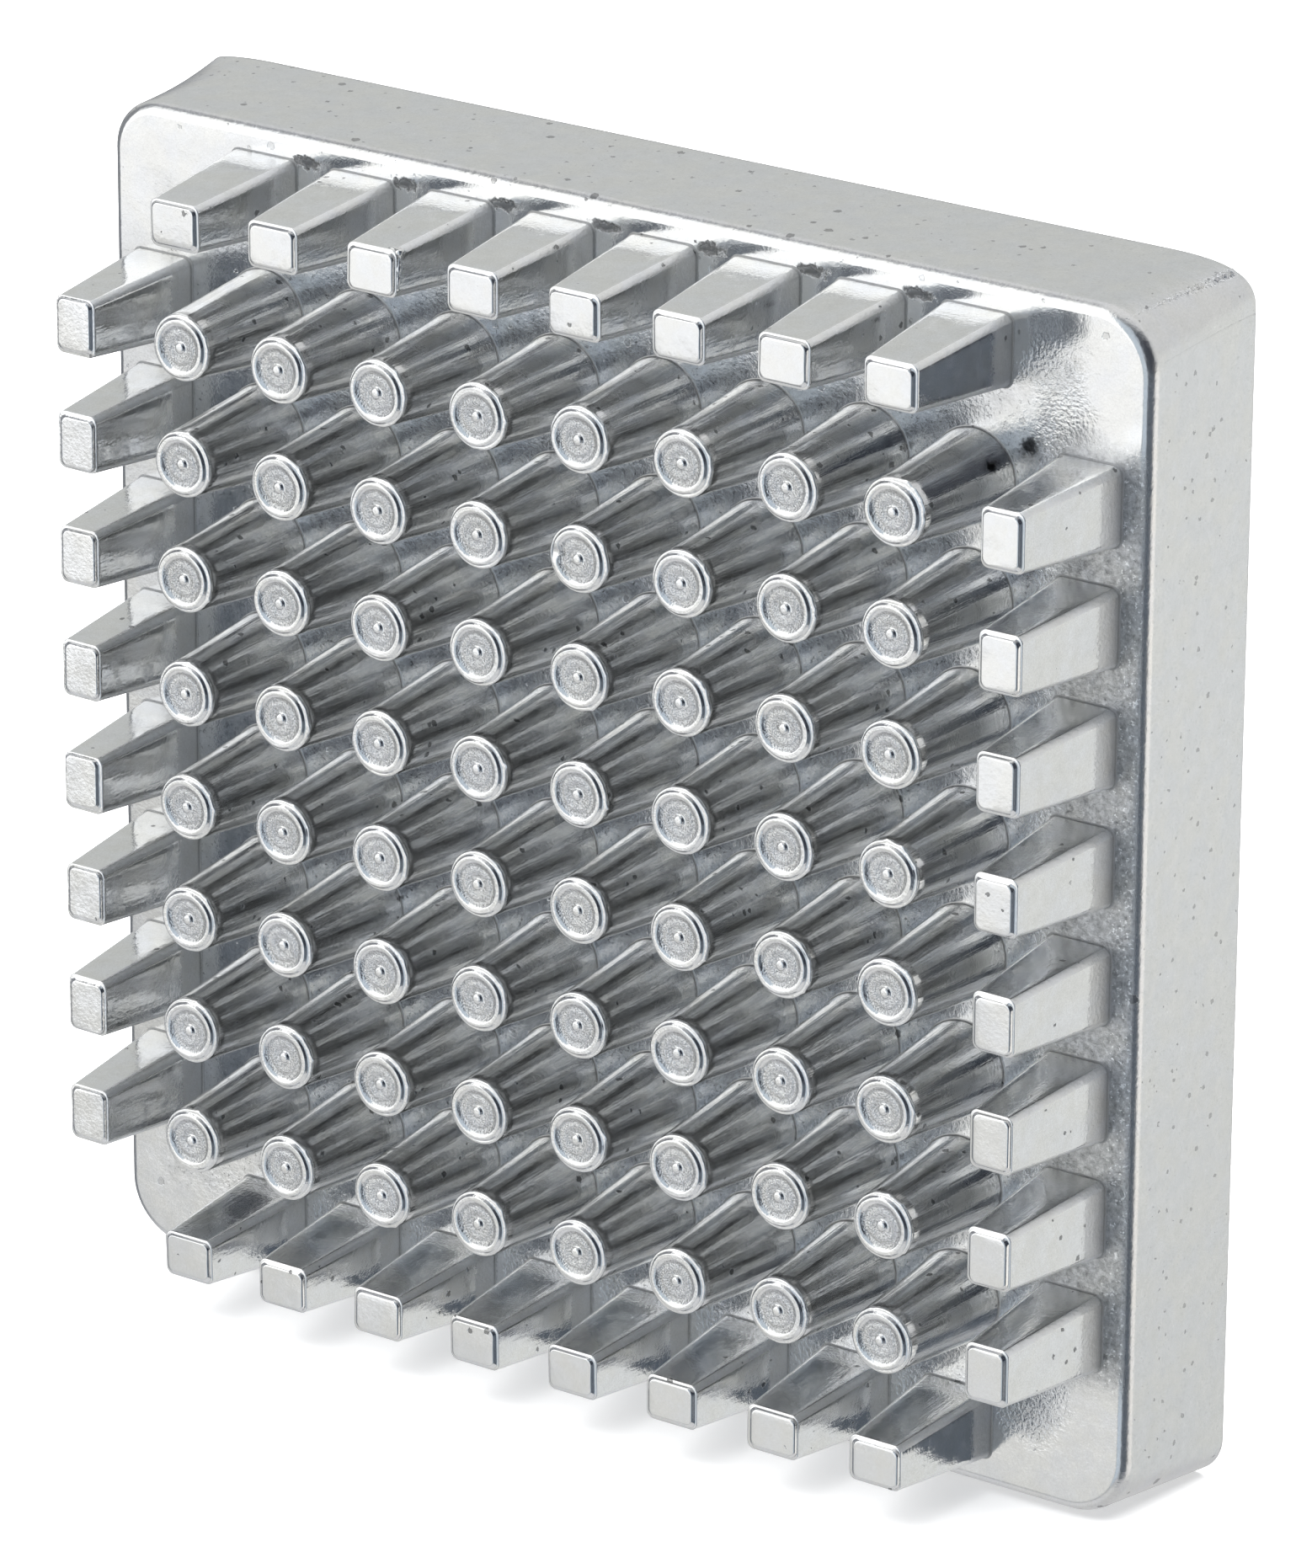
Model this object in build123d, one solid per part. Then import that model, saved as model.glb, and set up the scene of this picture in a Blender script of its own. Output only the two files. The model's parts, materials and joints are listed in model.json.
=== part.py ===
from build123d import *
import math
import os

# Push block of a hand-operated vegetable cutter: one aluminium die casting whose pins press
# the food through a square grid of blades.
#
# Frame: the origin is the centre of the machined back face. +Z is up, +X is to the right for
# someone who faces the pins, and the pins point along -Y. All lengths are in millimetres.

# Driving dimensions
PITCH = 9.525                    # blade spacing of the 3/8 inch grid
PINS_PER_SIDE = 8                # round pins along one side of their square field

# Block
BACK_WIDTH = 99.0                # square outline at the machined back face
THICKNESS = 13.3                 # back face to front face
DRAFT_ANGLE = 2.75               # taper of the outer sides, towards the front
BACK_CORNER_RADIUS = 3.9
FRONT_CORNER_RADIUS = 5.2
FRONT_EDGE_RADIUS = 0.9
WEB_THICKNESS = 5.0              # solid front wall that carries the pins
WALL_THICKNESS = 5.0             # skirt around the hollow back, measured at the back face

# Stiffening and fixing, inside the hollow back
HOLE_SPACING = 63.5              # 2 1/2 inch square pattern of screw holes
BOSS_RADIUS = 6.5
TAP_DRILL_RADIUS = 2.5           # tapping size for an M6 thread
RIB_THICKNESS = 3.0
RIB_SETBACK = 1.0                # ribs stop this far below the machined back face

# Round pins
ROUND_LENGTH = 11.0
ROUND_TIP_RADIUS = 2.64
ROUND_BASE_RADIUS = 3.75
ROUND_FOOT_RADIUS = 0.4          # fillet where the pin meets the block
TIP_SHOULDER = 0.35              # small step below the raised rim of the tip
RIM_OUTER_RADIUS = 2.29
RIM_INNER_RADIUS = 1.78
DISH_RADIUS = 1.62
DISH_DEPTH = 0.3
NIB_RADIUS = 0.42
NIB_HEIGHT = 0.25

# Square pins, one row along each side; "along" runs with the row and "across" runs outwards
SQUARE_LENGTH = 11.6
SQUARE_TIP_ALONG = 4.75
SQUARE_TIP_ACROSS = 3.85
SQUARE_TIP_OFFSET = 0.5          # tip centre, outwards of the next grid line
SQUARE_BASE_ALONG = 6.4
SQUARE_BASE_ACROSS = 5.75
SQUARE_BASE_OFFSET = 0.7         # base centre, outwards of the next grid line
SQUARE_TIP_CORNER = 0.55
SQUARE_BASE_CORNER = 0.8
SQUARE_FOOT = 0.7                # flare where the pin meets the block
SQUARE_TIP_CHAMFER = 0.3

# Worked out from the values above
FRONT_WIDTH = BACK_WIDTH - 2 * THICKNESS * math.tan(math.radians(DRAFT_ANGLE))
CORE_DEPTH = THICKNESS - WEB_THICKNESS
POCKET_WIDTH = BACK_WIDTH - 2 * WALL_THICKNESS
HALF_FIELD = (PINS_PER_SIDE - 1) / 2
HALF_HOLES = HOLE_SPACING / 2

SIDES = {"right": 0, "top": 90, "left": 180, "bottom": 270}
BACK = Plane.XZ                              # local x is X, local y is Z, normal is -Y
WEB_BACK = Plane.XZ.offset(CORE_DEPTH)
FRONT = Plane.XZ.offset(THICKNESS)


def grid_lines():
    """Distances of the grid lines from the centre, from the lowest to the highest."""
    return [(index - HALF_FIELD) * PITCH for index in range(PINS_PER_SIDE)]


def block_body():
    """Outer shape of the block: a tapered square with rounded corners and front edge."""
    back = BACK * RectangleRounded(BACK_WIDTH, BACK_WIDTH, BACK_CORNER_RADIUS)
    front = FRONT * RectangleRounded(FRONT_WIDTH, FRONT_WIDTH, FRONT_CORNER_RADIUS)
    body = loft([back, front], ruled=True)
    front_face = body.faces().sort_by(Axis.Y)[0]
    return fillet(front_face.edges(), FRONT_EDGE_RADIUS)


def slab(plane, depth):
    """A plate wider than the block that reaches from a plane towards the front."""
    return extrude(plane * Rectangle(2 * BACK_WIDTH, 2 * BACK_WIDTH), depth)


def face_plate(body):
    """Solid front wall that carries the pins."""
    return body & slab(WEB_BACK, 2 * WEB_THICKNESS)


def skirt_walls(body):
    """Four mitred walls around the hollow back."""
    skirt = body & slab(BACK, CORE_DEPTH)
    skirt -= extrude(BACK * Rectangle(POCKET_WIDTH, POCKET_WIDTH), CORE_DEPTH)
    reach = BACK_WIDTH
    walls = {}
    for side, angle in SIDES.items():
        quarter = Polygon((0, 0), (reach, -reach), (reach, reach), align=None)
        wedge = extrude(BACK * Rot(0, 0, angle) * quarter, CORE_DEPTH)
        walls[side] = skirt & wedge
    return walls


def cored_cylinder(x, z, radius):
    """Cylinder from the back face to the web, centred on x and z."""
    return extrude(BACK * Pos(x, z) * Circle(radius), CORE_DEPTH)


def boss(x, z):
    """Screw boss with its blind tapping hole, open at the back face."""
    return cored_cylinder(x, z, BOSS_RADIUS) - cored_cylinder(x, z, TAP_DRILL_RADIUS)


def rib(angle):
    """Rib through two bosses, parallel to the wall on the side at this angle."""
    strip = Rot(0, 0, angle) * Pos(HALF_HOLES, 0) * Rectangle(RIB_THICKNESS, POCKET_WIDTH)
    bar = extrude(BACK.offset(RIB_SETBACK) * strip, CORE_DEPTH - RIB_SETBACK)
    for x in (-HALF_HOLES, HALF_HOLES):
        for z in (-HALF_HOLES, HALF_HOLES):
            bar -= cored_cylinder(x, z, BOSS_RADIUS)
    return bar


def round_pin():
    """Tapered pin on the origin, standing on the XY plane, with its dished and rimmed tip."""
    slope = (ROUND_BASE_RADIUS - ROUND_TIP_RADIUS) / ROUND_LENGTH
    foot_top = ROUND_BASE_RADIUS - slope * ROUND_FOOT_RADIUS
    foot_edge = foot_top + ROUND_FOOT_RADIUS
    dish = ROUND_LENGTH - DISH_DEPTH
    foot = RadiusArc((foot_edge, 0), (foot_top, ROUND_FOOT_RADIUS), -ROUND_FOOT_RADIUS)
    outline = Polyline(
        (foot_top, ROUND_FOOT_RADIUS),
        (ROUND_TIP_RADIUS, ROUND_LENGTH - TIP_SHOULDER),
        (RIM_OUTER_RADIUS, ROUND_LENGTH),
        (RIM_INNER_RADIUS, ROUND_LENGTH),
        (DISH_RADIUS, dish),
        (NIB_RADIUS, dish),
        (NIB_RADIUS / 2, dish + NIB_HEIGHT),
        (0, dish + NIB_HEIGHT),
        (0, 0),
        (foot_edge, 0),
    )
    profile = Plane.XZ * make_face(foot + outline)
    return revolve(profile, Axis.Z)


def square_pin():
    """Tapered square pin of the right-hand row, standing on the XY plane; x runs outwards."""
    base_size = (SQUARE_BASE_ACROSS, SQUARE_BASE_ALONG)
    tip_size = (SQUARE_TIP_ACROSS, SQUARE_TIP_ALONG)

    def section(height, centre, size, corner, growth=0.0):
        outline = RectangleRounded(size[0] + growth, size[1] + growth, corner + growth / 2)
        return Pos(centre, 0, height) * outline

    shoulder = SQUARE_LENGTH - SQUARE_TIP_CHAMFER
    sections = [
        section(0, SQUARE_BASE_OFFSET, base_size, SQUARE_BASE_CORNER, 2 * SQUARE_FOOT),
        section(SQUARE_FOOT, SQUARE_BASE_OFFSET, base_size, SQUARE_BASE_CORNER),
        section(shoulder, SQUARE_TIP_OFFSET, tip_size, SQUARE_TIP_CORNER),
        section(SQUARE_LENGTH, SQUARE_TIP_OFFSET, tip_size, SQUARE_TIP_CORNER, -2 * SQUARE_TIP_CHAMFER),
    ]
    return loft(sections, ruled=True)


def on_front(shape, x, z, turn=0):
    """Stand a shape on the block's front face, turned about its own axis."""
    return FRONT * Pos(x, z, 0) * Rot(0, 0, turn) * shape


def round_pin_row(z):
    pin = round_pin()
    return Compound(children=[on_front(pin, x, z) for x in grid_lines()])


def square_pin_row(angle):
    """Row of square pins on the grid line outside the round pins, on the side at this angle."""
    pin = square_pin()
    edge = (HALF_FIELD + 1) * PITCH
    turned = FRONT * Rot(0, 0, angle)
    return Compound(children=[turned * Pos(edge, along, 0) * pin for along in grid_lines()])


def write(name, shape):
    export_step(shape, f"parts/{name}.step")


def main():
    os.makedirs("parts", exist_ok=True)
    body = block_body()
    write("face_plate", face_plate(body))
    for side, wall in skirt_walls(body).items():
        write(f"wall_{side}", wall)
    for side, angle in SIDES.items():
        write(f"rib_{side}", rib(angle))
        write(f"square_pins_{side}", square_pin_row(angle))
    for height, z in (("top", HALF_HOLES), ("bottom", -HALF_HOLES)):
        for hand, x in (("left", -HALF_HOLES), ("right", HALF_HOLES)):
            write(f"boss_{height}_{hand}", boss(x, z))
    for number, z in enumerate(reversed(grid_lines()), start=1):
        write(f"round_pins_row_{number}", round_pin_row(z))


main()
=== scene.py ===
import json
import math
import random

import bpy
import numpy as np
from mathutils import Matrix, Vector


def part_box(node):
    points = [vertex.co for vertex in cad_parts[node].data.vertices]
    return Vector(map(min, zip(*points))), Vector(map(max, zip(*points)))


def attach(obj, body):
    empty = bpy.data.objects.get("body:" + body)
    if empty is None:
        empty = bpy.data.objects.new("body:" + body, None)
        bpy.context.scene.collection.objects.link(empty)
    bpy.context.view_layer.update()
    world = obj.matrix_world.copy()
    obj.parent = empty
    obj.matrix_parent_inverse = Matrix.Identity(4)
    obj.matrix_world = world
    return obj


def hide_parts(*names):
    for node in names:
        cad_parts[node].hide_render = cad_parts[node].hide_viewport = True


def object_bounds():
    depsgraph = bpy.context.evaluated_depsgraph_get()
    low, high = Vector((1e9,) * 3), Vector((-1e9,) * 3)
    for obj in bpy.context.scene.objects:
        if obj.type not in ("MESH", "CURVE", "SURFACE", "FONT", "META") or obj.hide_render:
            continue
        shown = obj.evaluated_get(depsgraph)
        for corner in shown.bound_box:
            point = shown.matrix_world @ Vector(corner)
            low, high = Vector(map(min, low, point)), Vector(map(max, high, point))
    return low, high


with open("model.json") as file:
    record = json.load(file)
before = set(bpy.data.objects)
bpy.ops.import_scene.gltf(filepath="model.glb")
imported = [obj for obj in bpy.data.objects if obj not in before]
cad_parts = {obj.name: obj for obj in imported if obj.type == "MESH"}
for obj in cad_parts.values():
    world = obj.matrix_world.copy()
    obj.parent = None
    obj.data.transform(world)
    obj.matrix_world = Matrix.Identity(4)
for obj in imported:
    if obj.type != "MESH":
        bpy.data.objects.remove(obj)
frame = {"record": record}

# Push block of a vegetable cutter, a bright aluminium die casting. Shapes are worked out in
# millimetres in the model's frame and go to Blender in metres. The pins point along -Y; the
# "height" of a point on a pin is its distance from the front face of the block.

CAD_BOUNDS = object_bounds()
MM = 0.001

# ---------------------------------------------------------------- sizes read from the frame


def box_mm(node):
    """Lowest and highest corner of a node's box in millimetres."""
    low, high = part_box(node)
    return [value / MM for value in low], [value / MM for value in high]


def centre_mm(node):
    low, high = box_mm(node)
    return [(a + b) / 2 for a, b in zip(low, high)]


ROWS = 8
PITCH = (centre_mm("round_pins_row_1")[2] - centre_mm("round_pins_row_8")[2]) / (ROWS - 1)
GRID = [(index - (ROWS - 1) / 2) * PITCH for index in range(ROWS)]
EDGE_LINE = (ROWS + 1) / 2 * PITCH
FRONT_Y = box_mm("face_plate")[0][1]
WEB_Y = box_mm("face_plate")[1][1]
BACK_Y = box_mm("wall_top")[1][1]
THICKNESS = BACK_Y - FRONT_Y
BACK_HALF = CAD_BOUNDS[1][0] / MM
POCKET_HALF = box_mm("wall_top")[0][2]
ROUND_LENGTH = FRONT_Y - box_mm("round_pins_row_1")[0][1]
SQUARE_LENGTH = FRONT_Y - box_mm("square_pins_top")[0][1]
BOSS_AT = centre_mm("boss_top_right")[0]
BOSS_RADIUS = (box_mm("boss_top_right")[1][0] - box_mm("boss_top_right")[0][0]) / 2
HOLE_RADIUS = frame["record"]["mounts"][0]["dims"]["hole_r_mm"]
RIB_BACK_Y = box_mm("rib_top")[1][1]
RIB_HALF = (box_mm("rib_right")[1][0] - box_mm("rib_right")[0][0]) / 2
FLOOR_Z = CAD_BOUNDS[0][2]
LAST_PIN = GRID[-1], GRID[-1]

# ---------------------------------------------------------------- sizes of the visible details

DRAFT = math.radians(2.75)
FRONT_HALF = BACK_HALF - THICKNESS * math.tan(DRAFT)
FRONT_EDGE = 1.0
BACK_EDGE = 0.15
# How far each side lies inside the nominal square, at the front face and at the back face.
SIDE_TRIM = {"right": (0.0, 0.05), "top": (0.28, 0.24), "left": (0.3, 1.1), "bottom": (0.0, 0.0)}
# Corner: radius at the front; radii along the width and height and squareness at the back.
CORNERS = {
    "top_right": (5.2, 9.0, 3.9, 3.2),
    "top_left": (4.3, 6.0, 0.7, 2.0),
    "bottom_left": (5.2, 3.9, 3.9, 2.0),
    "bottom_right": (5.4, 3.4, 3.4, 2.0),
}
POCKET_CORNER = 2.5
POCKET_FILLET = 1.6
POCKET_DRAFT = 0.03
BOSS_FILLET = 1.2
THREAD_PITCH = 1.0
THREAD_DEPTH = 0.4

# Radii and foot fillet of a round pin; the rim and dish sit a little off its axis.
ROUND_TIP = 2.66
ROUND_BASE = 3.72
ROUND_FOOT = 0.14
RIM_SHIFT = 0.11
# Sizes of a square pin across and along its row, and how far it stands outside the edge line.
SQUARE_TIP_SIZE = (3.85, 4.75)
SQUARE_BASE_SIZE = (5.75, 6.4)
SQUARE_TIP_OUT = 0.5
SQUARE_BASE_OUT = 0.7
SQUARE_FOOT = 0.12
SQUARE_CORNER = 0.8

SIDES = (("right", 0), ("top", 90), ("left", 180), ("bottom", 270))
PIN_SEGMENTS = 96
BOSS_SEGMENTS = 64
# Depth to which a foot reaches into the face that it stands on, so that no gap shows.
SUNK = 0.05
# Grey tone of clean metal.
BRIGHT = 0.84

# ---------------------------------------------------------------- mesh helpers


def lofted(rings, start=False, end=True):
    """Points and faces of the surface through rings of equal length; the ends may be closed."""
    rings = np.asarray(rings, float)
    count, around = rings.shape[:2]
    index = np.arange(count * around).reshape(count, around)
    here, ahead = index[:-1], index[1:]
    quads = np.stack([here, np.roll(here, -1, 1), np.roll(ahead, -1, 1), ahead], axis=-1)
    faces = [tuple(face) for face in quads.reshape(-1, 4).tolist()]
    if start:
        faces.append(tuple(index[0][::-1].tolist()))
    if end:
        faces.append(tuple(index[-1].tolist()))
    return rings.reshape(-1, 3), faces


def joined(parts):
    """One list of points and faces from several."""
    points, faces, base = [], [], 0
    for part_points, part_faces in parts:
        points.append(part_points)
        faces.extend(tuple(base + corner for corner in face) for face in part_faces)
        base += len(part_points)
    return np.concatenate(points), faces


def piece(name, shape, material, nodes=()):
    """A shown piece of the object, in metres, which stands for the given CAD nodes."""
    points, faces = shape
    mesh = bpy.data.meshes.new(name)
    mesh.from_pydata((points * MM).tolist(), [], faces)
    mesh.polygons.foreach_set("use_smooth", [True] * len(mesh.polygons))
    mesh.update()
    made = bpy.data.objects.new(name, mesh)
    bpy.context.collection.objects.link(made)
    mesh.materials.append(material)
    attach(made, "root")
    if nodes:
        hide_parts(*nodes)
    return made


def turned(u, v, y, angle):
    """Points given outwards (u) and along (v) a side of the block, for the side at an angle."""
    turn = math.radians(angle)
    x = u * math.cos(turn) - v * math.sin(turn)
    z = u * math.sin(turn) + v * math.cos(turn)
    return np.stack([x, np.broadcast_to(np.asarray(y, float), np.shape(x)), z], axis=-1)


def smooth(value, start, end):
    """Eases from 0 at the start to 1 at the end."""
    share = np.clip((value - start) / (end - start), 0, 1)
    return share * share * (3 - 2 * share)


def bumps(angles, rng, count, centre, spread, widths, sizes):
    """Sum of small humps around a circle, at places drawn about a centre angle."""
    total = np.zeros(len(angles))
    for _ in range(count):
        place = rng.gauss(centre, spread)
        width = rng.uniform(*widths)
        turn = np.angle(np.exp(1j * (angles - place)))
        total += rng.uniform(*sizes) * np.exp(-((turn / width) ** 2))
    return total


# ---------------------------------------------------------------- block


def outline(sides, corners, y, side_points=24, corner_points=18):
    """Ring in x and z through four sides and four rounded corners (radius_x, radius_z, power)."""
    right, top, left, bottom = sides
    places = [(right, top, 1, 1), (left, top, -1, 1), (left, bottom, -1, -1), (right, bottom, 1, -1)]
    arcs = []
    for turn, (place, corner) in enumerate(zip(places, corners)):
        side_x, side_z, sign_x, sign_z = place
        radius_x, radius_z, power = corner
        angles = np.linspace(0, math.pi / 2, corner_points)
        if turn % 2:
            angles = angles[::-1]
        x = side_x - sign_x * radius_x * (1 - np.cos(angles) ** (2 / power))
        z = side_z - sign_z * radius_z * (1 - np.sin(angles) ** (2 / power))
        arcs.append(np.stack([x, z], axis=1))
    loop = []
    for turn in range(4):
        begin, finish = arcs[turn - 1][-1], arcs[turn][0]
        steps = np.linspace(0, 1, side_points + 2)[1:-1, None]
        loop.append(begin + (finish - begin) * steps)
        loop.append(arcs[turn])
    loop = np.concatenate(loop)
    return np.stack([loop[:, 0], np.full(len(loop), float(y)), loop[:, 1]], axis=1)


def side_places(share, inset=0.0):
    """Positions of the right, top, left and bottom sides at a share of the depth."""
    half = FRONT_HALF + (BACK_HALF - FRONT_HALF) * share - inset
    trims = [front + (back - front) * share for front, back in SIDE_TRIM.values()]
    return [half - trims[0], half - trims[1], trims[2] - half, trims[3] - half]


def corner_shapes(share, inset=0.0):
    """Radii and squareness of the outer corners at a share of the depth."""
    shapes = []
    for front, back_x, back_z, power in CORNERS.values():
        shapes.append((
            front + (back_x - front) * share - inset,
            front + (back_z - front) * share - inset,
            2 + (power - 2) * share,
        ))
    return shapes


def outer_ring(share, inset, y):
    return outline(side_places(share, inset), corner_shapes(share, inset), y)


def pocket_ring(half, radius, y):
    return outline([half, half, -half, -half], [(radius, radius, 2)] * 4, y)


def pocket_rings():
    """From the middle of the pocket floor, out and up its walls to the back face."""
    rings = []
    half = POCKET_HALF - POCKET_DRAFT * (BACK_Y - WEB_Y)
    for share in np.linspace(0.01, 1, 14):
        rings.append(pocket_ring((half - POCKET_FILLET) * share, POCKET_CORNER * share * 0.5, WEB_Y))
    for angle in np.linspace(0, math.pi / 2, 7)[1:]:
        reach = half - POCKET_FILLET * (1 - math.sin(angle))
        rings.append(pocket_ring(reach, POCKET_CORNER, WEB_Y + POCKET_FILLET * (1 - math.cos(angle))))
    for grow, drop in ((0.0, 0.4), (0.03, 0.2), (0.12, 0.06), (0.3, 0.0)):
        rings.append(pocket_ring(POCKET_HALF + grow, POCKET_CORNER, BACK_Y - drop))
    return rings


def front_rings():
    """The rounded front edge, then the front face in to its middle."""
    rings = []
    for angle in np.linspace(0, math.pi / 2, 13)[1:]:
        inset = FRONT_EDGE * (1 - math.cos(angle))
        y = FRONT_Y + FRONT_EDGE * (1 - math.sin(angle))
        rings.append(outer_ring((y - FRONT_Y) / THICKNESS, inset, y))
    rim = rings[-1]
    for share in np.linspace(1, 0.01, 30)[1:]:
        ring = rim * share
        ring[:, 1] = FRONT_Y
        rings.append(ring)
    return rings


def block_shape():
    """Casting body in one skin: pocket, back face, outer sides, rounded edge, front face."""
    rings = pocket_rings()
    for inset, drop in ((2 * BACK_EDGE, 0.0), (BACK_EDGE, 0.0), (BACK_EDGE / 3, BACK_EDGE / 3)):
        rings.append(outer_ring(1, inset, BACK_Y - drop))
    for share in np.linspace(1 - BACK_EDGE / THICKNESS, FRONT_EDGE / THICKNESS, 26):
        rings.append(outer_ring(share, 0.0, FRONT_Y + share * THICKNESS))
    return lofted(rings + front_rings(), start=True)


def rough_bead(path, sizes, rng):
    """Lumpy closed bead along a path of points, with a thickness for each point."""
    path = np.asarray(path, float)
    around = np.linspace(0, 2 * math.pi, 8, endpoint=False)
    run = path[-1] - path[0]
    first = np.cross(run, (0.3, 0.5, 0.8))
    first /= np.linalg.norm(first)
    second = np.cross(run, first)
    second /= np.linalg.norm(second)
    rings = []
    for point, size in zip(path, sizes):
        size = size * rng.uniform(0.5, 1.3)
        middle = point + first * size * rng.uniform(-0.3, 0.3)
        circle = np.outer(np.cos(around), first) + np.outer(np.sin(around), second)
        rings.append(middle + size * circle)
    return lofted(rings, start=True)


def corner_bead(start, end, sizes, rng):
    """Rough raised line left along the top right corner by the die's joint, front to back."""
    shares = np.linspace(0.12, 0.98, 90)
    sizes = sizes[0] + (sizes[1] - sizes[0]) * shares
    path = []
    for share, size in zip(shares, sizes):
        angle = math.radians(start + (end - start) * share)
        radius_x, radius_z, power = corner_shapes(share)[0]
        right, top = side_places(share)[:2]
        x = right - radius_x * (1 - math.cos(angle) ** (2 / power)) - 0.25 * size
        z = top - radius_z * (1 - math.sin(angle) ** (2 / power)) - 0.25 * size
        path.append((x, FRONT_Y + share * THICKNESS, z))
    return rough_bead(path, sizes, rng)


# ---------------------------------------------------------------- round pins


def tip_profile():
    """Radius and height over the tip: shoulder, broad rim, dish and nib, from the outside in."""
    steps = [
        (2.67, 0.52), (2.69, 0.40), (2.69, 0.30), (2.67, 0.25), (2.63, 0.22), (2.57, 0.21),
        (2.50, 0.215), (2.455, 0.21), (2.44, 0.195), (2.42, 0.175), (2.31, 0.055), (2.29, 0.035),
        (2.265, 0.018), (2.23, 0.007),
        (2.17, 0.0), (2.08, 0.0), (2.00, 0.01), (1.93, 0.03), (1.87, 0.06), (1.78, 0.12),
        (1.68, 0.18), (1.58, 0.23), (1.48, 0.26), (1.38, 0.25), (1.25, 0.20), (1.10, 0.19),
        (0.90, 0.24), (0.70, 0.28), (0.55, 0.30), (0.47, 0.28), (0.42, 0.20), (0.37, 0.13),
        (0.28, 0.10), (0.16, 0.09), (0.04, 0.09),
    ]
    return [(radius, ROUND_LENGTH - drop) for radius, drop in steps]


def pin_profile():
    """Radius and height along a round pin from its foot to the centre of its tip."""
    slope = (ROUND_BASE - ROUND_TIP) / ROUND_LENGTH
    foot_top = ROUND_BASE - slope * ROUND_FOOT
    profile = [(foot_top + ROUND_FOOT, -SUNK)]
    for angle in np.linspace(0, math.pi / 2, 8):
        radius = foot_top + ROUND_FOOT * (1 - math.sin(angle))
        profile.append((radius, ROUND_FOOT * (1 - math.cos(angle))))
    for height in np.linspace(ROUND_FOOT, ROUND_LENGTH - 0.6, 16)[1:]:
        profile.append((ROUND_BASE - slope * height, height))
    return profile + tip_profile()


def round_pin_shape(x, z, rng, dented=False, torn_away=False):
    """One round pin with die marks along it and a torn rim, worst at the upper right."""
    angles = np.linspace(0, 2 * math.pi, PIN_SEGMENTS, endpoint=False)
    marks = bumps(angles, rng, 22, 0, 4, (0.03, 0.10), (-0.022, 0.018))
    torn = bumps(angles, rng, rng.randint(2, 5), 0.45, 0.5, (0.04, 0.11), (0.03, 0.15))
    if torn_away:
        torn += bumps(angles, rng, 5, 0.55, 0.35, (0.12, 0.22), (0.12, 0.2))
    uneven = 0.03 * np.sin(2 * angles + rng.uniform(0, 6))
    uneven = uneven + 0.015 * np.sin(5 * angles + rng.uniform(0, 6))
    lean = rng.uniform(0.0, 0.05), rng.uniform(0, 6)
    dent = bumps(angles, rng, 1, math.pi - 0.1, 0, (0.22, 0.23), (0.34, 0.35)) if dented else 0
    rings = []
    for radius, height in pin_profile():
        on_side = float(smooth(height, 1, 3)) * (radius > ROUND_TIP - 0.1)
        at_rim = math.exp(-(((ROUND_LENGTH - 0.30 - height) / 0.10) ** 2)) * (radius > 2.44)
        reach = radius + marks * on_side + torn * at_rim
        if 1.3 < radius < 2.5:
            reach = reach + uneven - dent * (radius < 2.1)
        level = height + lean[0] * radius / ROUND_TIP * np.cos(angles - lean[1]) * (radius < 2.45)
        level = np.minimum(level, ROUND_LENGTH)
        if dented and radius > 1.5:
            level = level - 0.5 * dent * (radius < 2.5)
        raised = height > ROUND_LENGTH - 0.2 or radius < 2.4
        middle_x = x - RIM_SHIFT * raised
        middle_z = z - 0.3 * RIM_SHIFT * raised
        ring = np.stack([
            middle_x + reach * np.cos(angles),
            FRONT_Y - level,
            middle_z + reach * np.sin(angles),
        ], axis=1)
        rings.append(ring)
    return lofted(rings)


# ---------------------------------------------------------------- square pins


def square_profile():
    """Height, share of the way to the tip, and inset, from the foot to the flat of the tip."""
    steps = [(-SUNK, 0.0, -SQUARE_FOOT)]
    for angle in np.linspace(0, math.pi / 2, 9):
        steps.append((SQUARE_FOOT * (1 - math.cos(angle)), 0.0, -SQUARE_FOOT * (1 - math.sin(angle))))
    for share in np.linspace(0, 1, 12)[1:]:
        steps.append((SQUARE_FOOT + (SQUARE_LENGTH - 0.5 - SQUARE_FOOT) * share, share, 0.0))
    # Drop and inset of the outer edge, the narrow ledge, the step up and the flat.
    tip = [
        (0.32, 0.0), (0.285, 0.015), (0.265, 0.05), (0.26, 0.12), (0.255, 0.17), (0.235, 0.20),
        (0.215, 0.215), (0.07, 0.335), (0.05, 0.35), (0.02, 0.385), (0.005, 0.43), (0.0, 0.52),
        (0.0, 0.9), (0.0, 1.4),
    ]
    return steps + [(SQUARE_LENGTH - drop, 1.0, inset) for drop, inset in tip]


def rounded_loop(half_u, half_v, radius, arc_points=9, side_points=7):
    """Counterclockwise rounded rectangle about the origin."""
    loop = []
    for turn in range(4):
        sign_u, sign_v = ((1, 1), (-1, 1), (-1, -1), (1, -1))[turn]
        angles = np.linspace(0, math.pi / 2, arc_points) + turn * math.pi / 2
        u = sign_u * (half_u - radius) + radius * np.cos(angles)
        v = sign_v * (half_v - radius) + radius * np.sin(angles)
        loop.append(np.stack([u, v], axis=1))
    whole = []
    for turn in range(4):
        begin, finish = loop[turn - 1][-1], loop[turn][0]
        steps = np.linspace(0, 1, side_points + 2)[1:-1, None]
        whole.append(begin + (finish - begin) * steps)
        whole.append(loop[turn])
    return np.concatenate(whole)


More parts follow.
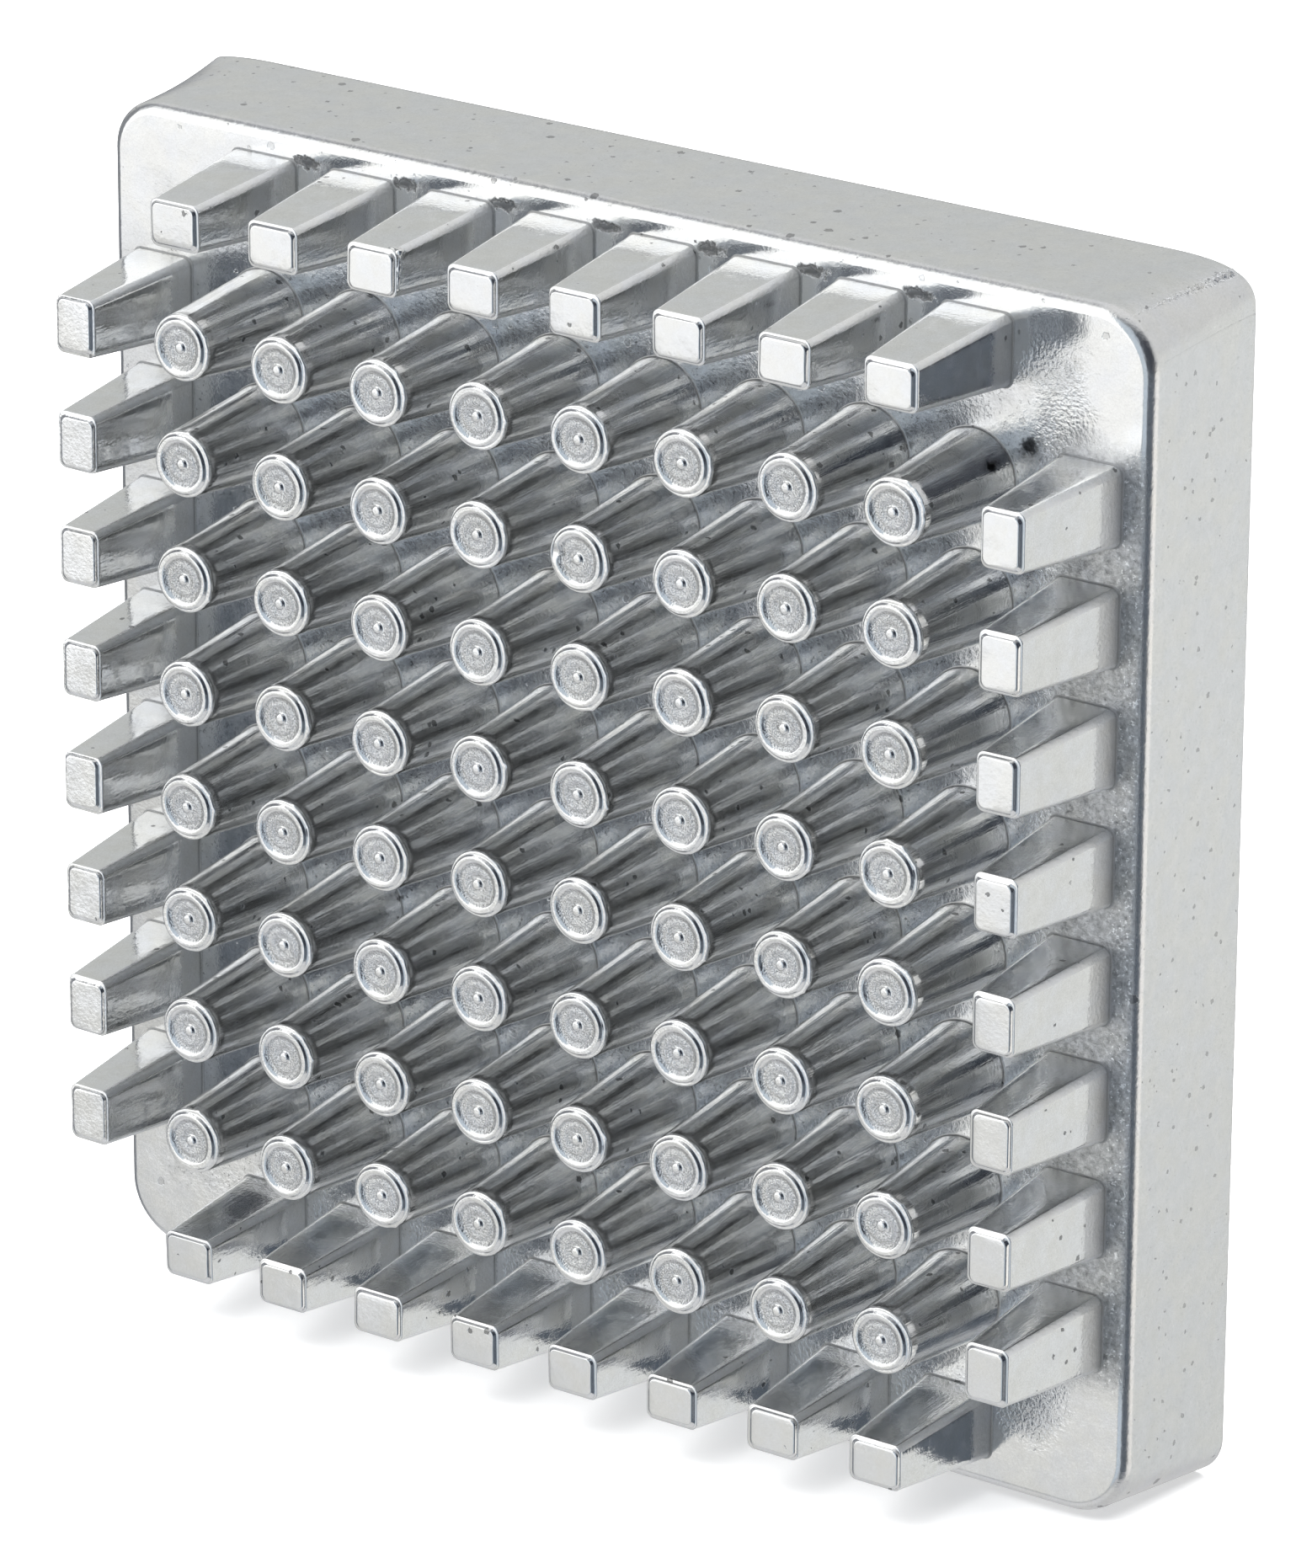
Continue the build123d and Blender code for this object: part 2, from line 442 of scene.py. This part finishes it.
def square_pin_shape(angle, along, rng):
    """Square pin on the side at an angle, at a distance along its row, its flat a little askew."""
    rings = []
    shrink = rng.uniform(-0.05, 0.05)
    tilt = rng.uniform(-0.03, 0.03)
    aside = rng.gauss(0, 0.06), rng.gauss(0, 0.06)
    for height, share, inset in square_profile():
        across = SQUARE_BASE_SIZE[0] + (SQUARE_TIP_SIZE[0] + shrink - SQUARE_BASE_SIZE[0]) * share
        length = SQUARE_BASE_SIZE[1] + (SQUARE_TIP_SIZE[1] - shrink - SQUARE_BASE_SIZE[1]) * share
        out = EDGE_LINE + SQUARE_BASE_OUT + (SQUARE_TIP_OUT - SQUARE_BASE_OUT) * share
        radius = max(SQUARE_CORNER - 0.15 * share - 0.3 * inset, 0.3)
        loop = rounded_loop(across / 2 - inset, length / 2 - inset, radius)
        level = np.minimum(height + tilt * loop[:, 0] * share, SQUARE_LENGTH)
        loop = loop + np.asarray(aside) * float(smooth(inset, 0.18, 0.22))
        rings.append(turned(loop[:, 0] + out, loop[:, 1] + along, FRONT_Y - level, angle))
    return lofted(rings)


def tip_burr(angle, along, rng):
    """Burr round the outer corner of a square tip, with a tail down one of its edges."""
    round_corner, tail = 4, 10
    edge = along - SQUARE_TIP_SIZE[1] / 2
    top = EDGE_LINE + SQUARE_TIP_OUT + SQUARE_TIP_SIZE[0] / 2
    sideways = edge + np.concatenate([np.linspace(0.9, 0.1, round_corner), np.zeros(tail)])
    outward = top - np.concatenate([np.zeros(round_corner), np.linspace(0.2, 3.2, tail)])
    depth = np.linspace(0.84, 0.40, round_corner + tail)
    path = turned(outward, sideways, FRONT_Y - SQUARE_LENGTH + depth, angle)
    return rough_bead(path, np.geomspace(0.60, 0.14, round_corner + tail), rng)


# ---------------------------------------------------------------- hollow back


def circle_ring(x, z, radius, y):
    """Circle about the axis of a boss, clockwise as seen from the front."""
    angles = np.linspace(2 * math.pi, 0, BOSS_SEGMENTS, endpoint=False)
    level = np.full(BOSS_SEGMENTS, float(y))
    return np.stack([x + radius * np.cos(angles), level, z + radius * np.sin(angles)], axis=1)


def boss_shape(x, z):
    """Tapped screw boss from the pocket floor to the back face."""
    profile = [(BOSS_RADIUS + BOSS_FILLET, WEB_Y - SUNK)]
    for angle in np.linspace(0, math.pi / 2, 6):
        radius = BOSS_RADIUS + BOSS_FILLET * (1 - math.sin(angle))
        profile.append((radius, WEB_Y + BOSS_FILLET * (1 - math.cos(angle))))
    for shrink, drop in ((0.0, 0.35), (0.12, 0.1), (0.35, 0.0)):
        profile.append((BOSS_RADIUS - shrink, BACK_Y - drop))
    profile += [(HOLE_RADIUS + 0.7, BACK_Y), (HOLE_RADIUS + 0.55, BACK_Y - 0.05)]
    level = BACK_Y - 0.6
    while level > WEB_Y + 1.2:
        profile.append((HOLE_RADIUS + THREAD_DEPTH, level))
        profile.append((HOLE_RADIUS, level - THREAD_PITCH / 2))
        level -= THREAD_PITCH
    profile += [(HOLE_RADIUS, WEB_Y + 0.05), (0.05, WEB_Y + 0.05)]
    return lofted([circle_ring(x, z, radius, y) for radius, y in profile])


def rib_shape(angle, start, end):
    """Stretch of a rib between two distances along it, on the side at an angle."""
    fillet, crown = 0.9, 0.5
    height = RIB_BACK_Y - WEB_Y
    half = [(RIB_HALF + fillet, -SUNK)]
    for step in np.linspace(0, math.pi / 2, 5):
        half.append((RIB_HALF + fillet * (1 - math.sin(step)), fillet * (1 - math.cos(step))))
    for step in np.linspace(0, math.pi / 2, 5):
        width = RIB_HALF - 0.25 - crown * (1 - math.cos(step))
        half.append((width, height - crown * (1 - math.sin(step))))
    whole = np.array(half + [(-width, level) for width, level in half[::-1]])
    rings = [turned(BOSS_AT + whole[:, 0], np.full(len(whole), along), WEB_Y + whole[:, 1], angle)
             for along in (start, end)]
    return lofted(rings, start=True)


# ---------------------------------------------------------------- node helpers


class Nodes:
    """Short way to write a node tree whose values are numbers or sockets."""

    def __init__(self, tree):
        self.tree = tree

    def node(self, kind, inputs=(), **settings):
        made = self.tree.nodes.new("ShaderNode" + kind)
        for key, value in settings.items():
            setattr(made, key, value)
        for key, value in dict(inputs).items():
            if isinstance(value, bpy.types.NodeSocket):
                self.tree.links.new(value, made.inputs[key])
            else:
                made.inputs[key].default_value = value
        return made

    def math(self, operation, first, second=0.0):
        return self.node("Math", {0: first, 1: second}, operation=operation).outputs[0]

    def add(self, *values):
        total = values[0]
        for value in values[1:]:
            total = self.math("ADD", total, value)
        return total

    def times(self, *values):
        total = values[0]
        for value in values[1:]:
            total = self.math("MULTIPLY", total, value)
        return total

    def ease(self, value, start, end, low=0.0, high=1.0):
        """Smooth change from low at the start value to high at the end value."""
        if start > end:
            start, end, low, high = end, start, high, low
        inputs = {"Value": value, "From Min": start, "From Max": end, "To Min": low, "To Max": high}
        return self.node("MapRange", inputs, interpolation_type="SMOOTHSTEP").outputs[0]

    def band(self, value, low, high, soft):
        """1 between two values and 0 outside them, with soft edges."""
        rise = self.ease(value, low - soft, low + soft)
        fall = self.ease(value, high + soft, high - soft)
        return self.times(rise, fall)

    def mix_colour(self, share, first, second):
        return self.node("Mix", {0: share, 6: first, 7: second}, data_type="RGBA").outputs[2]

    def split(self, vector):
        return self.node("SeparateXYZ", {0: vector}).outputs

    def vector(self, operation, first, second=(0, 0, 0), third=(0, 0, 0)):
        made = self.node("VectorMath", {0: first, 1: second}, operation=operation)
        if operation == "WRAP":
            made.inputs[2].default_value = third
        return made.outputs[0]


class Metal(Nodes):
    """Node tree of one metal surface, with positions in millimetres."""

    def __init__(self, name):
        self.material = bpy.data.materials.new(name)
        self.material.use_nodes = True
        super().__init__(self.material.node_tree)
        self.shader = self.tree.nodes["Principled BSDF"]
        here = self.node("TexCoord")
        self.facing = self.split(here.outputs["Normal"])
        self.place = self.vector("MULTIPLY", here.outputs["Object"], (1 / MM,) * 3)
        self.x, self.y, self.z = self.split(self.place)
        self.height = self.math("SUBTRACT", FRONT_Y, self.y)

    def noise(self, size, detail=2.0, stretch=(1, 1, 1), where=None, roughness=0.55):
        """Even noise about 0, roughly -0.5 to 0.5, with features of a size in millimetres."""
        place = self.vector("MULTIPLY", where or self.place, tuple(1 / (size * s) for s in stretch))
        inputs = {"Vector": place, "Scale": 1.0, "Detail": detail, "Roughness": roughness}
        value = self.node("TexNoise", inputs).outputs[0]
        return self.math("SUBTRACT", value, 0.5)

    def pits(self, spacing, radius):
        """1 inside small round pits of mixed sizes that lie about a spacing apart."""
        ragged = self.node("TexNoise", {"Vector": self.place, "Scale": 4.0, "Detail": 2.0}).outputs[1]
        moved = self.vector("ADD", self.place, self.vector("MULTIPLY", ragged, (0.4,) * 3))
        place = self.vector("MULTIPLY", moved, (1 / spacing,) * 3)
        cells = self.node("TexVoronoi", {"Vector": place, "Scale": 1.0})
        chance = self.split(cells.outputs["Color"])[0]
        size = self.times(self.math("POWER", chance, 3.0), radius / spacing)
        return self.ease(self.math("SUBTRACT", cells.outputs["Distance"], size), 0.02, -0.02)

    def blow_hole(self, x, z, height, size):
        """Darkens a ragged spot about a point of the surface; 1 everywhere else."""
        point = (x, FRONT_Y - height, z)
        away = self.node("VectorMath", {0: self.place, 1: point}, operation="DISTANCE").outputs["Value"]
        ragged = self.add(away, self.times(self.noise(0.5, 4.0, roughness=0.7), 1.2))
        return self.ease(ragged, size * 0.4, size, 0.12, 1.0)

    def nicks(self, x, z, size):
        """1 in a ragged nick that repeats beside the foot of each square pin of the top row."""
        first, last = GRID[0] + x, GRID[-2] + x
        along = self.math("FLOORED_MODULO", self.math("SUBTRACT", self.x, first - PITCH / 2), PITCH)
        off_x = self.times(self.math("SUBTRACT", along, PITCH / 2), 0.35)
        off_z = self.math("SUBTRACT", self.z, z)
        away = self.math("SQRT", self.add(self.times(off_x, off_x), self.times(off_z, off_z)))
        ragged = self.add(away, self.times(self.noise(0.6, 4.0, roughness=0.7), 1.4))
        row = self.band(self.x, first - PITCH / 2, last + PITCH / 2, 0.1)
        return self.times(self.ease(ragged, size, size * 0.4), row)

    def corner_crest(self):
        """1 along the rough line of the die's joint on the top right corner, wider to the back."""
        off_x = self.math("SUBTRACT", self.x, self.add(BACK_HALF - 1.95, self.times(self.y, 0.1)))
        off_z = self.math("SUBTRACT", self.z, self.add(BACK_HALF - 0.95, self.times(self.y, 0.05)))
        away = self.math("SQRT", self.add(self.times(off_x, off_x), self.times(off_z, off_z)))
        width = self.ease(self.y, FRONT_Y, BACK_Y, 0.05, 0.5)
        ragged = self.add(away, self.times(self.noise(0.6, 2.0), 0.4))
        return self.ease(self.math("SUBTRACT", ragged, width), 0.08, -0.08)

    def long_edge(self):
        """1 on the rounded edges that run along a square pin."""
        corner = self.math("ABSOLUTE", self.times(self.facing[0], self.facing[2]))
        return self.ease(corner, 0.22, 0.36)

    def finish(self, tone, roughness, height, metallic=0.98):
        """Joins grey tone, roughness and relief in millimetres to the shader."""
        tint = self.ease(self.noise(3.0, 3.0), -0.15, 0.15)
        light = self.mix_colour(tint, (0.99, 0.995, 0.98, 1), (0.97, 0.985, 1.0, 1))
        colour = self.mix_colour(tone, (0.0, 0.0, 0.0, 1), light)
        bump = self.node("Bump", {"Height": height, "Distance": MM, "Strength": 1.0})
        self.tree.links.new(colour, self.shader.inputs["Base Color"])
        self.tree.links.new(self.math("MAXIMUM", roughness, 0.06), self.shader.inputs["Roughness"])
        self.tree.links.new(bump.outputs[0], self.shader.inputs["Normal"])
        self.shader.inputs["Metallic"].default_value = metallic
        return self.material


# ---------------------------------------------------------------- materials


def block_metal():
    """Bright skin: pitted sides, mottled field among the pins, grainy verge, gritty right strip.
    Painted shade darkens the field, the outer sides and the strips beside the pins; a painted highlight
    lightens the rough joint line on the top right corner.
    """
    m = Metal("cast_block")
    right = m.math("ABSOLUTE", m.add(m.x, 1.2))
    across = m.math("MAXIMUM", right, m.math("ABSOLUTE", m.z))
    reach = m.add(across, m.times(m.noise(5.0, 3.0), 6.0))
    front = m.ease(m.height, -0.25, -0.03)
    side = m.math("SUBTRACT", 1.0, front)
    field = m.times(m.ease(reach, 44.0, 41.0), front)
    verge = m.times(m.band(reach, 40.5, 44.0, 1.0), m.ease(m.x, -42, -36), front)
    crest = m.times(m.corner_crest(), side)
    grain = m.noise(0.35, 3.0)
    fine = m.noise(0.13, 2.0)
    wave = m.noise(2.6, 2.0)
    mottle = m.noise(1.3, 4.0, roughness=0.7)
    specks = m.ease(m.noise(0.28, 3.0), 0.10, 0.20)
    coarse = m.noise(0.55, 4.0, roughness=0.75)
    between = m.times(m.ease(m.math("ABSOLUTE", m.z), 39.5, 35.5), front)
    beside = m.times(m.ease(m.x, 39.5, 42.5), between)
    rim = m.times(m.ease(m.x, 45.5, 47.5), between)
    left_strip = m.times(m.ease(m.x, -39.5, -42.5), m.ease(m.z, 40, 34), m.ease(m.z, -40, -34), front)
    farthest = m.math("MAXIMUM", m.math("ABSOLUTE", m.x), m.math("ABSOLUTE", m.z))
    skin = m.times(side, m.ease(farthest, 46.5, 47.5))
    pits = m.times(m.pits(1.8, 0.38), m.add(m.times(skin, 0.5), 0.4))
    pits = m.math("MAXIMUM", pits, m.times(m.pits(1.15, 0.22), skin, 0.6))
    grains = m.add(0.010, m.times(verge, 0.07), m.times(field, 0.012), m.times(side, 0.02))
    relief = m.add(m.times(grain, grains), m.times(grain, crest, 0.25))
    relief = m.add(relief, m.times(wave, 0.03), m.times(fine, 0.004), m.times(pits, -0.05))
    roughness = m.add(0.12, m.times(field, 0.06), m.times(side, 0.12), m.times(beside, 0.3))
    roughness = m.add(roughness, m.times(mottle, 0.10), m.times(fine, 0.08))
    nicks = m.times(m.nicks(4.2, EDGE_LINE + 3.6, 0.55), front)
    relief = m.add(relief, m.times(coarse, beside, 0.09), m.times(nicks, -0.15))
    # Painted shade: the strip round the feet of the right pins is darker, over its own grit; the bright
    # specks near the edge are painted glints.
    strip_tone = m.add(-0.31, m.times(coarse, 1.2), m.times(specks, rim, 1.2))
    # Painted shade: the field among the pins is a little darker than the open face, and the outer sides
    # are darker, most towards the bottom.
    tone = m.add(BRIGHT, m.times(field, -0.08), m.times(side, m.ease(m.z, -50, 20, -0.12, -0.05)))
    # Painted shade: the strip beside the left pins is darker.
    tone = m.add(tone, m.times(beside, strip_tone), m.times(left_strip, -0.16))
    tone = m.add(tone, m.times(mottle, m.add(0.14, m.times(field, 0.35))), m.times(fine, 0.16))
    tone = m.add(tone, m.times(specks, m.add(m.times(field, -0.35), m.times(side, -0.06))))
    # The rough joint line on the top right corner is lighter: a painted highlight along the die's
    # joint, with dark specks.
    tone = m.add(tone, m.times(crest, m.add(0.16, m.times(specks, -0.2))))
    tone = m.times(tone, m.ease(pits, 0.0, 1.0, 1.0, 0.5), m.ease(nicks, 0.0, 1.0, 1.0, 0.42))
    tone = m.times(tone, m.blow_hole(LAST_PIN[0] + 4.9, LAST_PIN[1] + 3.2, 0.0, 0.9))
    return m.finish(tone, roughness, relief)


def round_pin_metal():
    """Round pins: die marks along the taper, rough foot with a painted shadow line, grainy dish in the
    tip, sides darker than the tips as painted shade.
    """
    m = Metal("cast_round_pins")
    half = PITCH / 2
    centred = m.vector("WRAP", m.vector("ADD", m.place, (half, 0, half)), (half,) * 3, (-half,) * 3)
    flat = m.vector("MULTIPLY", centred, (1, 0, 1))
    radius = m.node("VectorMath", {0: flat}, operation="LENGTH").outputs["Value"]
    heading = m.vector("MULTIPLY", m.vector("NORMALIZE", flat), (ROUND_BASE,) * 3)
    cell = m.vector("MULTIPLY", m.vector("SUBTRACT", m.place, centred), (1.7, 0, 2.3))
    lengthwise = m.vector("MULTIPLY", m.place, (0, 1, 0))
    around = m.vector("ADD", m.vector("ADD", heading, cell), lengthwise)
    streak = m.noise(0.5, 3.0, (1, 12, 1), around)
    hair = m.noise(0.16, 2.0, (1, 20, 1), around)
    grain = m.noise(0.30, 3.0)
    fine = m.noise(0.14, 2.0)
    mottle = m.noise(1.8, 4.0, roughness=0.7)
    foot = m.ease(m.height, 2.2, 0.5)
    on_tip = m.ease(m.height, ROUND_LENGTH - 0.52, ROUND_LENGTH - 0.42)
    dish = m.times(m.band(radius, 0.5, 1.8, 0.08), on_tip)
    side = m.math("SUBTRACT", 1.0, on_tip)
    pits = m.times(m.pits(1.25, 0.30), side)
    foot_crease = m.ease(m.height, 0.3, 0.1)
    relief = m.times(side, m.add(m.times(streak, 0.035), m.times(hair, 0.012)))
    relief = m.add(relief, m.times(grain, m.add(0.016, m.times(foot, 0.03))), m.times(pits, -0.04))
    relief = m.add(relief, m.times(fine, m.add(m.times(on_tip, 0.012), m.times(dish, 0.09))))
    roughness = m.add(0.12, m.times(foot, 0.06), m.times(dish, 0.12), m.times(mottle, 0.10))
    roughness = m.add(roughness, m.times(hair, 0.08), m.times(on_tip, -0.04), m.times(foot_crease, 0.2))
    # Painted shade: the sides of the pins are darker than their tips; the streaks along them are die
    # marks.
    tone = m.add(BRIGHT, m.times(mottle, 0.25), m.times(side, m.add(-0.09, m.times(streak, 0.18))))
    tone = m.add(tone, m.times(dish, -0.16))
    # Painted shadow: a dark line in the crease at the foot of each pin.
    tone = m.add(tone, m.times(foot_crease, -0.2), m.times(fine, dish, 0.5))
    tone = m.add(tone, m.times(side, m.times(hair, 0.22)), m.times(fine, 0.18))
    tone = m.times(tone, m.ease(pits, 0.0, 1.0, 1.0, 0.35))
    tone = m.times(tone, m.blow_hole(LAST_PIN[0] + 3.0, LAST_PIN[1] + 1.75, 2.3, 0.6))
    return m.finish(tone, roughness, relief)


def square_pin_metal():
    """Square pins: smooth flats with faint die marks, grainy patches, speckled edges lightened as
    painted highlights, flanks a little darker as painted shade, and a painted shadow line at the foot.
    """
    m = Metal("cast_square_pins")
    streak = m.noise(0.5, 3.0, (1, 12, 1))
    grain = m.noise(0.30, 3.0)
    fine = m.noise(0.13, 2.0)
    patch = m.ease(m.noise(2.4, 3.0), 0.02, 0.14)
    mottle = m.noise(1.5, 4.0, roughness=0.7)
    foot = m.ease(m.add(m.height, m.times(grain, 1.2)), 2.9, 1.9)
    pits = m.pits(1.6, 0.28)
    edge = m.long_edge()
    rough = m.math("MAXIMUM", m.times(patch, 0.6), foot)
    foot_crease = m.ease(m.height, 0.3, 0.1)
    relief = m.add(m.times(streak, 0.015), m.times(grain, m.add(0.010, m.times(rough, 0.035))))
    relief = m.times(relief, m.ease(m.height, SQUARE_LENGTH - 0.4, SQUARE_LENGTH - 0.3, 1.0, 0.35))
    relief = m.add(relief, m.times(pits, -0.05))
    roughness = m.add(0.09, m.times(rough, 0.10), m.times(mottle, 0.08), m.times(fine, 0.08))
    foot_roughness = m.ease(m.facing[2], 0.5, 0.8, 0.32, 0.02)
    roughness = m.add(roughness, m.times(foot, foot_roughness), m.times(edge, 0.35))
    roughness = m.add(roughness, m.times(foot_crease, 0.2))
    on_tip = m.ease(m.height, SQUARE_LENGTH - 0.4, SQUARE_LENGTH - 0.3)
    blotched = m.times(on_tip, m.ease(m.x, -38, -41))
    relief = m.add(relief, m.times(grain, blotched, 0.03), m.times(grain, edge, 0.06))
    texture = m.add(m.times(mottle, 0.20), m.times(fine, 0.20))
    # Painted shadow: a dark line in the crease at the foot of each pin.
    tone = m.add(BRIGHT, m.times(texture, m.add(1.0, m.times(on_tip, -0.5))), m.times(foot_crease, -0.2))
    flank = m.math("SUBTRACT", 1.0, on_tip)
    # Painted highlight: the rounded edges along the pins are lighter. Painted shade: the flanks are a
    # little darker than the tips.
    tone = m.add(tone, m.times(mottle, blotched, 0.5), m.times(flank, -0.04), m.times(edge, 0.12))
    tone = m.times(tone, m.ease(pits, 0.0, 1.0, 1.0, 0.4))
    return m.finish(tone, roughness, relief)


def back_metal():
    """Cored back: matt die skin."""
    m = Metal("cast_back")
    grain = m.noise(0.35, 3.0)
    mottle = m.noise(2.5, 4.0)
    relief = m.times(grain, 0.012)
    return m.finish(m.add(0.76, m.times(mottle, 0.12)), m.add(0.36, m.times(mottle, 0.12)), relief)


# ---------------------------------------------------------------- camera, light and floor


# Camera seen from the middle of the round tips: bearing, elevation and roll in degrees, distance in
# metres, and the point it looks at in millimetres.
VIEW_BEARING = 36.185
VIEW_ELEVATION = 20.924
VIEW_ROLL = 0.305
VIEW_DISTANCE = 0.69794
VIEW_AIM = (12.219, 0, 7.363)


def make_camera():
    """Long lens at the viewing angle: a little from the right and from above."""
    bearing, elevation = math.radians(VIEW_BEARING), math.radians(VIEW_ELEVATION)
    flat = math.cos(elevation)
    outward = Vector((math.sin(bearing) * flat, -math.cos(bearing) * flat, math.sin(elevation)))
    tips = Vector((0, (FRONT_Y - ROUND_LENGTH) * MM, 0))
    place = tips + VIEW_DISTANCE * outward
    aim = tips + Vector(VIEW_AIM) * MM
    turn = (place - aim).to_track_quat("Z", "Y").to_matrix().to_4x4()
    data = bpy.data.cameras.new("camera")
    data.lens = 208.4
    data.sensor_width = 36.0
    data.clip_start = 0.01
    camera = bpy.data.objects.new("camera", data)
    bpy.context.collection.objects.link(camera)
    tilt = Matrix.Rotation(math.radians(VIEW_ROLL), 4, "Z")
    camera.matrix_world = Matrix.Translation(place) @ turn @ tilt
    bpy.context.scene.camera = camera


def make_floor():
    """Wide pale floor; the metal mirrors the studio around it and not the floor's edge."""
    reach = 4.0
    mesh = bpy.data.meshes.new("studio_floor")
    corners = [(-reach, -reach), (reach, -reach), (reach, reach), (-reach, reach)]
    mesh.from_pydata([(x, y, FLOOR_Z) for x, y in corners], [], [(0, 1, 2, 3)])
    floor = bpy.data.objects.new("studio_floor", mesh)
    bpy.context.collection.objects.link(floor)
    material = bpy.data.materials.new("pale_floor")
    material.use_nodes = True
    shader = material.node_tree.nodes["Principled BSDF"]
    shader.inputs["Base Color"].default_value = (0.93, 0.93, 0.93, 1)
    shader.inputs["Roughness"].default_value = 0.9
    shader.inputs["Emission Color"].default_value = (1, 1, 1, 1)
    shader.inputs["Emission Strength"].default_value = 0.4
    mesh.materials.append(material)
    floor.visible_glossy = False


# Panels of the studio, later ones in front of earlier ones: bearing from and to (0 is in front of
# the pins, 90 to their right), elevation from and to and softness of the edges, all in degrees, then
# the colour of the light.
STUDIO = [
    (-200, 200, -100, -38, 8, (0.70, 0.70, 0.71, 1)),
    (-200, 200, 52, 100, 10, (0.80, 0.80, 0.81, 1)),
    (-100, 95, -40, 60, 12, (0.22, 0.23, 0.25, 1)),
    (-200, -105, 10, 42, 8, (0.60, 0.61, 0.60, 1)),
    (-150, -95, -38, 5, 8, (0.25, 0.26, 0.28, 1)),
    (-62, -16, -37, 56, 4, (0.76, 0.76, 0.75, 1)),
    (-62, -16, -21.5, 56, 1.5, (1.09, 1.09, 1.09, 1)),
    (-62, -37, -37, -19.6, 1.5, (0.68, 0.68, 0.67, 1)),
    (-62, -16, -10, 56, 4, (1.50, 1.50, 1.50, 1)),
    (-14, 19, -37, 40, 3, (0.55, 0.62, 0.70, 1)),
    (24, 86, -12, 44, 4, (0.02, 0.025, 0.04, 1)),
    (24, 68, -46, -8, 4, (0.10, 0.12, 0.15, 1)),
    (79, 120, -46, -4, 5, (1.10, 1.07, 1.03, 1)),
    (118, 165, -45, 5, 6, (0.80, 0.81, 0.80, 1)),
]


def make_world():
    """Soft studio: a tall white screen at the front left, a dark gap at the front right, plain
    white behind the object where the camera sees it directly.
    """
    world = bpy.data.worlds.new("studio")
    bpy.context.scene.world = world
    world.use_nodes = True
    world.node_tree.nodes.clear()
    w = Nodes(world.node_tree)
    x, y, z = w.split(w.node("TexCoord").outputs["Generated"])
    bearing = w.math("DEGREES", w.math("ARCTAN2", x, w.times(y, -1.0)))
    elevation = w.math("DEGREES", w.math("ARCSINE", z))
    colour = (0.72, 0.72, 0.72, 1)
    for left, right, low, high, soft, tint in STUDIO:
        share = w.times(w.band(bearing, left, right, soft), w.band(elevation, low, high, soft))
        colour = w.mix_colour(share, colour, tint)
    seen_directly = w.node("LightPath").outputs["Is Camera Ray"]
    colour = w.mix_colour(seen_directly, colour, (1, 1, 1, 1))
    background = w.node("Background", {"Color": colour, "Strength": 1.0})
    output = w.node("OutputWorld", {"Surface": background.outputs[0]})
    output.is_active_output = True


def make_lamp():
    """Overhead softbox that whitens the floor."""
    data = bpy.data.lights.new("overhead_softbox", "AREA")
    data.shape = "DISK"
    data.size = 3.0
    data.energy = 90.0
    lamp = bpy.data.objects.new("overhead_softbox", data)
    lamp.location = (-0.2, -0.1, 1.5)
    lamp.visible_glossy = False
    bpy.context.collection.objects.link(lamp)


# ---------------------------------------------------------------- the object


def make_block(rng):
    walls = ["wall_" + side for side in ("top", "bottom", "left", "right")]
    # Angles round the corner in degrees, and radii, of the two raised lines from front to back.
    crest = corner_bead(59, 47, (0.05, 0.36), rng)
    faint = corner_bead(12, 0.5, (0.03, 0.07), rng)
    piece("casting_block", joined([block_shape(), crest, faint]), block_metal(), ["face_plate"] + walls)


def make_pins(rng):
    material = round_pin_metal()
    for row, z in enumerate(reversed(GRID), start=1):
        pins = []
        for column, x in enumerate(GRID, start=1):
            place = (row, column)
            pins.append(round_pin_shape(x, z, rng, dented=place == (2, 5), torn_away=place == (1, 8)))
        piece(f"round_pins_{row}", joined(pins), material, [f"round_pins_row_{row}"])
    material = square_pin_metal()
    for side, angle in SIDES:
        pins = [square_pin_shape(angle, along, rng) for along in GRID]
        if side == "top":
            pins.append(tip_burr(angle, GRID[-3], rng))
        piece(f"square_pins_on_{side}", joined(pins), material, [f"square_pins_{side}"])


def make_back():
    material = back_metal()
    inner, outer = BOSS_AT - BOSS_RADIUS + 1, BOSS_AT + BOSS_RADIUS - 1
    spans = [(-POCKET_HALF, -outer), (-inner, inner), (outer, POCKET_HALF)]
    for side, angle in SIDES:
        lengths = [rib_shape(angle, start, end) for start, end in spans]
        piece(f"back_rib_{side}", joined(lengths), material, [f"rib_{side}"])
    for height, z in (("top", BOSS_AT), ("bottom", -BOSS_AT)):
        for hand, x in (("left", -BOSS_AT), ("right", BOSS_AT)):
            piece(f"screw_boss_{height}_{hand}", boss_shape(x, z), material, [f"boss_{height}_{hand}"])


def main():
    rng = random.Random(7)
    bpy.context.scene.view_settings.view_transform = "Standard"
    make_camera()
    make_floor()
    make_world()
    make_lamp()
    make_block(rng)
    make_pins(rng)
    make_back()


main()
